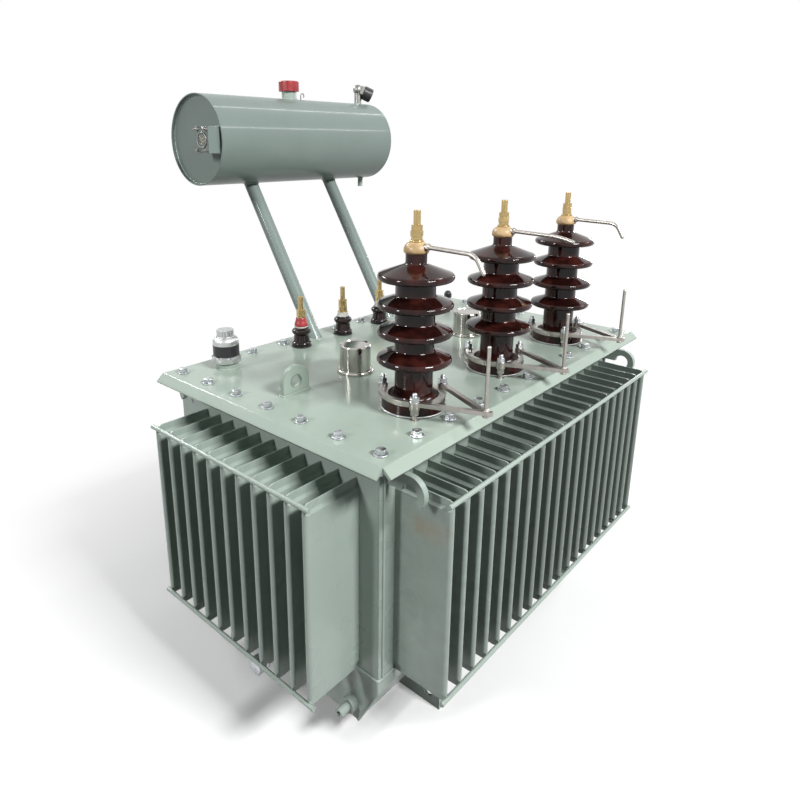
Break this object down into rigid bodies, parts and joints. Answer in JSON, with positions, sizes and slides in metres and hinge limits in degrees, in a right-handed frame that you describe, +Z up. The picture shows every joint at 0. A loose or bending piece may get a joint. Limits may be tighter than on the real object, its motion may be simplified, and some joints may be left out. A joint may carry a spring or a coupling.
{
  "type": "power transformer",
  "caption": "Oil-filled power transformer: finned tank on skid channels, bolted lid with porcelain bushings and arcing horns, and a raised cylindrical oil conservator.",
  "frame": {"origin": "on the ground, at the centre of the four floor bolt holes in the skids", "axes": "+X along the long finned walls, +Y from the high-voltage side towards the conservator, +Z up"},
  "size_m": [1.214, 1.0285, 1.3375],
  "materials": {
    "tank_paint": "semi-gloss grey-green paint",
    "lid_paint": "semi-gloss pale grey-green paint",
    "porcelain": "glossy dark brown glaze",
    "steel": "bright stainless and zinc plated steel",
    "chrome": "polished",
    "cast_aluminium": "satin",
    "brass": "machined",
    "cap_tan": "satin tan",
    "red_plastic": "moulded red",
    "black_plastic": "moulded black",
    "gasket_rubber": "matt black"
  },
  "bodies": {
    "root": {"left_skid": "tank_paint", "right_skid": "tank_paint", "tank_trough": "tank_paint", "trough_end_plates": "tank_paint", "front_corrugated_wall": "tank_paint", "rear_corrugated_wall": "tank_paint", "left_corrugated_wall": "tank_paint", "right_corrugated_wall": "tank_paint", "front_tie_rods": "tank_paint", "rear_tie_rods": "tank_paint", "left_tie_rods": "tank_paint", "right_tie_rods": "tank_paint", "tank_rim": "tank_paint", "lid_gasket": "gasket_rubber", "lid": "lid_paint", "front_lifting_hooks": "tank_paint", "rear_lifting_hooks": "tank_paint", "lid_lifting_lugs": "lid_paint", "hv_porcelain_left": "porcelain", "hv_porcelain_middle": "porcelain", "hv_porcelain_right": "porcelain", "hv_clamp_left": "steel", "hv_clamp_middle": "steel", "hv_clamp_right": "steel", "hv_caps": "cap_tan", "hv_terminals": "brass", "hv_upper_horns": "steel", "hv_lower_horns": "steel", "lv_porcelains": "porcelain", "lv_washers": "cap_tan", "lv_terminals": "brass", "tap_changer_caps": "chrome", "relief_valve": "cast_aluminium", "relief_valve_cap": "cast_aluminium", "thermometer_pocket": "steel", "thermometer_cap": "black_plastic", "conservator_shell": "tank_paint", "conservator_left_end": "tank_paint", "conservator_right_end": "tank_paint", "conservator_supports": "tank_paint", "filler_neck": "tank_paint", "filler_cap": "red_plastic", "level_gauge": "tank_paint", "breather": "cast_aluminium", "breather_cap": "black_plastic", "conservator_drain": "tank_paint", "tank_drains": "tank_paint"}
  },
  "joints": []
}
